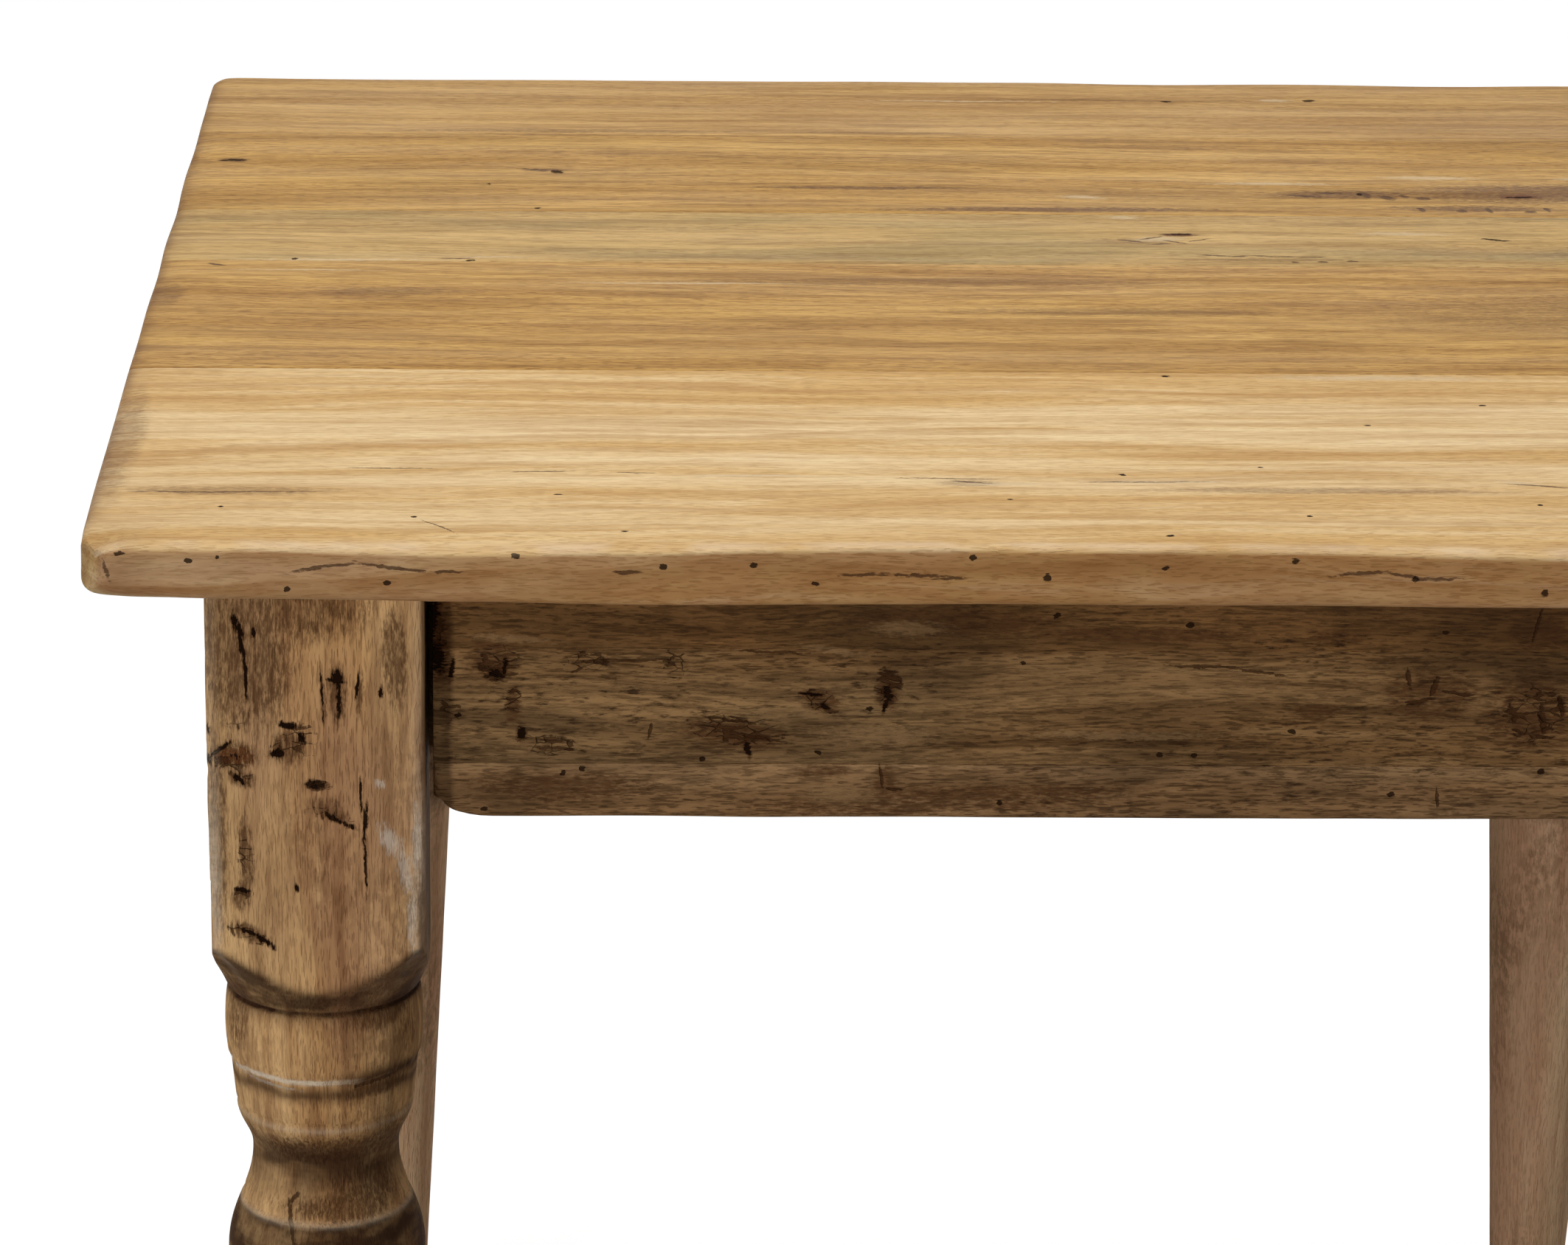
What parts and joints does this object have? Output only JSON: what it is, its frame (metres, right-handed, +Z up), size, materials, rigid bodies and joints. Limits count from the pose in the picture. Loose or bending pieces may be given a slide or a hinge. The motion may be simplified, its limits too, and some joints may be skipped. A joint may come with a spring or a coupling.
{
  "type": "square dining table",
  "caption": "Square dining table of worn reclaimed wood: a thick plank top, turned legs below square blocks, deep glued-up aprons and bolted corner blocks.",
  "frame": {"origin": "on the floor under the middle of the top", "axes": "+Z up, -Y towards the front as pictured, +X to the right"},
  "size_m": [0.914, 0.914, 0.762],
  "materials": {
    "top_wood": "satin wax on worn honey-brown planks",
    "leg_wood": "satin wax on warm brown turned wood",
    "apron_wood": "low sheen on dark rough-sawn wood",
    "hidden_wood": "bare planed wood",
    "zinc_steel": "bright zinc plate"
  },
  "bodies": {
    "root": {"top_plank_front": "top_wood", "top_plank_mid_front": "top_wood", "top_plank_centre": "top_wood", "top_plank_mid_rear": "top_wood", "top_plank_rear": "top_wood", "plank_tongues": "hidden_wood", "leg_front_left": "leg_wood", "leg_front_right": "leg_wood", "leg_rear_right": "leg_wood", "leg_rear_left": "leg_wood", "apron_front_upper": "apron_wood", "apron_front_middle": "apron_wood", "apron_front_lower": "apron_wood", "apron_right_upper": "apron_wood", "apron_right_middle": "apron_wood", "apron_right_lower": "apron_wood", "apron_rear_upper": "apron_wood", "apron_rear_middle": "apron_wood", "apron_rear_lower": "apron_wood", "apron_left_upper": "apron_wood", "apron_left_middle": "apron_wood", "apron_left_lower": "apron_wood", "corner_block_front_left": "hidden_wood", "corner_block_front_right": "hidden_wood", "corner_block_rear_right": "hidden_wood", "corner_block_rear_left": "hidden_wood", "hanger_bolts": "zinc_steel", "bolt_washers": "zinc_steel", "bolt_nuts": "zinc_steel", "corner_block_screws": "zinc_steel", "top_button_screws": "zinc_steel", "top_buttons": "hidden_wood"}
  },
  "joints": []
}
